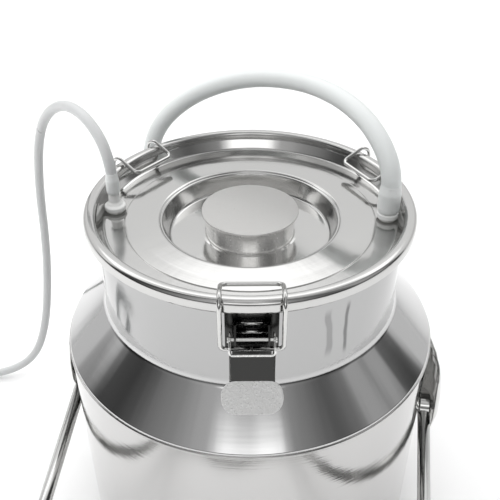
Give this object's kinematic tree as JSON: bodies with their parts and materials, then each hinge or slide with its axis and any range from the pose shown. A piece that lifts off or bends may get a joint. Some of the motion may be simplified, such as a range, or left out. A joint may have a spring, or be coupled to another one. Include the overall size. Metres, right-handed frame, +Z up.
{
  "type": "milking machine bucket",
  "caption": "Stainless milking machine bucket with a stepped neck, a knobbed lid clamped by wire toggle latches, a swing bail, and milk and vacuum hoses.",
  "frame": {"origin": "centre of the can's flat base, on the surface it stands on", "axes": "+Z up along the can's axis, -Y towards the front latch, +X towards the milk hose's fitting"},
  "size_m": [0.5449, 0.6313, 0.3537],
  "materials": {
    "polished_steel": "mirror-polished stainless steel sheet",
    "knob_steel": "satin stainless steel",
    "latch_steel": "bright stainless steel sheet and wire",
    "milky_hose": "milky translucent silicone",
    "white_plastic": "translucent white plastic",
    "white_rubber": "white silicone gasket",
    "tie_strap": "white plastic strap"
  },
  "bodies": {
    "can": {"can_body": "polished_steel", "can_base": "polished_steel", "can_shoulder": "polished_steel", "can_rim": "polished_steel", "ear_left": "polished_steel", "ear_right": "polished_steel", "bail_stud_left": "polished_steel", "bail_stud_right": "polished_steel", "latch_base_front": "latch_steel", "latch_base_right": "latch_steel", "latch_base_left": "latch_steel", "latch_axle_front": "latch_steel", "latch_axle_right": "latch_steel", "latch_axle_left": "latch_steel", "milk_hose_coil": "milky_hose", "milk_hose_coil_tie_1": "tie_strap", "milk_hose_coil_tie_2": "tie_strap", "milk_hose_tail": "milky_hose", "milk_hose_connector": "white_plastic", "vacuum_hose_coil": "milky_hose", "vacuum_hose_coil_tie_1": "tie_strap", "vacuum_hose_coil_tie_2": "tie_strap", "vacuum_hose_tail": "milky_hose", "vacuum_hose_connector": "white_plastic"},
    "lid": {"lid_cover": "polished_steel", "lid_gasket": "white_rubber", "lid_knob": "knob_steel", "milk_fitting": "white_plastic", "milk_seal": "white_rubber", "milk_nut": "white_plastic", "milk_hose_cuff": "milky_hose", "milk_hose": "milky_hose", "vacuum_fitting": "white_plastic", "vacuum_seal": "white_rubber", "vacuum_nut": "white_plastic", "vacuum_hose_cuff": "milky_hose", "vacuum_hose": "milky_hose"},
    "carry_bail": {"carry_bail": "polished_steel", "bail_eye_left": "polished_steel", "bail_eye_right": "polished_steel"},
    "latch_lever_front": {"latch_lever_front": "latch_steel"},
    "latch_wire_front": {"latch_wire_front": "latch_steel"},
    "latch_lever_right": {"latch_lever_right": "latch_steel"},
    "latch_wire_right": {"latch_wire_right": "latch_steel"},
    "latch_lever_left": {"latch_lever_left": "latch_steel"},
    "latch_wire_left": {"latch_wire_left": "latch_steel"}
  },
  "joints": [
    {"name": "lid_lift", "type": "slide", "parent": "can", "child": "lid", "axis": [0, 0, 1], "range_m": [0, 0.15], "deforming": ["milk_hose", "vacuum_hose"]},
    {"name": "bail_swing", "type": "hinge", "parent": "can", "child": "carry_bail", "pos_m": [0, 0, 0.1005], "axis": [-0.9886, 0.1504, 0], "range_deg": [0, 109]},
    {"name": "lever_swing_front", "type": "hinge", "parent": "can", "child": "latch_lever_front", "pos_m": [0.00124, -0.11849, 0.2586], "axis": [-0.9999, -0.0105, 0], "range_deg": [0, 100]},
    {"name": "wire_swing_front", "type": "hinge", "parent": "latch_lever_front", "child": "latch_wire_front", "pos_m": [0.00123, -0.1177, 0.25064], "axis": [-0.9999, -0.0105, 0], "range_deg": [-140, 0]},
    {"name": "lever_swing_right", "type": "hinge", "parent": "can", "child": "latch_lever_right", "pos_m": [0.10314, 0.05835, 0.2586], "axis": [0.4924, -0.8704, 0], "range_deg": [0, 100]},
    {"name": "wire_swing_right", "type": "hinge", "parent": "latch_lever_right", "child": "latch_wire_right", "pos_m": [0.10245, 0.05796, 0.25064], "axis": [0.4924, -0.8704, 0], "range_deg": [-140, 0]},
    {"name": "lever_swing_left", "type": "hinge", "parent": "can", "child": "latch_lever_left", "pos_m": [-0.09338, 0.07296, 0.2586], "axis": [0.6157, 0.788, 0], "range_deg": [0, 100]},
    {"name": "wire_swing_left", "type": "hinge", "parent": "latch_lever_left", "child": "latch_wire_left", "pos_m": [-0.09275, 0.07247, 0.25064], "axis": [0.6157, 0.788, 0], "range_deg": [-140, 0]}
  ],
  "couplings": [
    {"joint": "wire_swing_front", "follows": "lever_swing_front", "ratio": -1.4},
    {"joint": "wire_swing_right", "follows": "lever_swing_right", "ratio": -1.4},
    {"joint": "wire_swing_left", "follows": "lever_swing_left", "ratio": -1.4}
  ]
}
